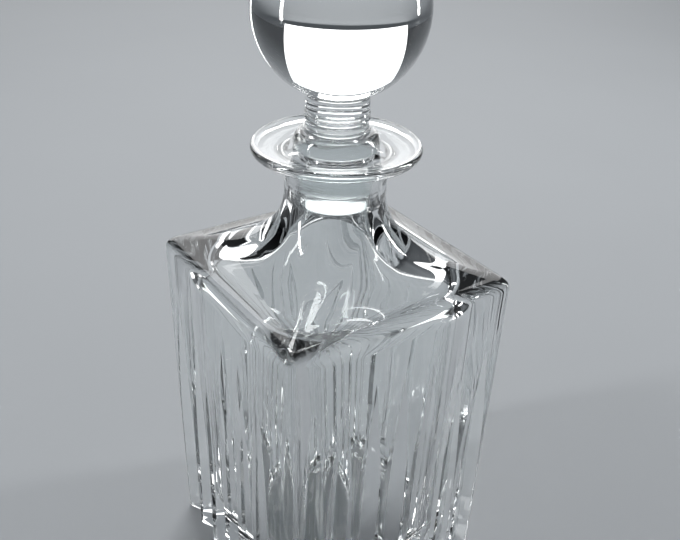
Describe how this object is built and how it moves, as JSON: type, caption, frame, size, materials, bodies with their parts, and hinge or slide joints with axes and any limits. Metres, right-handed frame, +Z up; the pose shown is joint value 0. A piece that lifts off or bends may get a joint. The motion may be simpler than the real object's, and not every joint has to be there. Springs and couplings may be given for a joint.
{
  "type": "cut crystal decanter",
  "caption": "Square cut crystal decanter with V-cut flutes, sloping shoulder, flat collar and a solid ball stopper that lifts out.",
  "frame": {"origin": "middle of the flat base, on the surface that the decanter stands on", "axes": "+Z up through the neck and stopper; the four cut faces look along +X, -X, +Y and -Y"},
  "size_m": [0.0928, 0.0928, 0.255],
  "materials": {
    "bottle_crystal": "polished lead crystal, cut and acid polished, ground inside the neck",
    "stopper_crystal": "polished lead crystal with a ground peg"
  },
  "bodies": {
    "bottle": {"bottle": "bottle_crystal"},
    "stopper": {"stopper": "stopper_crystal"}
  },
  "joints": [
    {"name": "stopper_lift", "type": "slide", "parent": "bottle", "child": "stopper", "axis": [0, 0, 1], "range_m": [0, 0.06]}
  ]
}
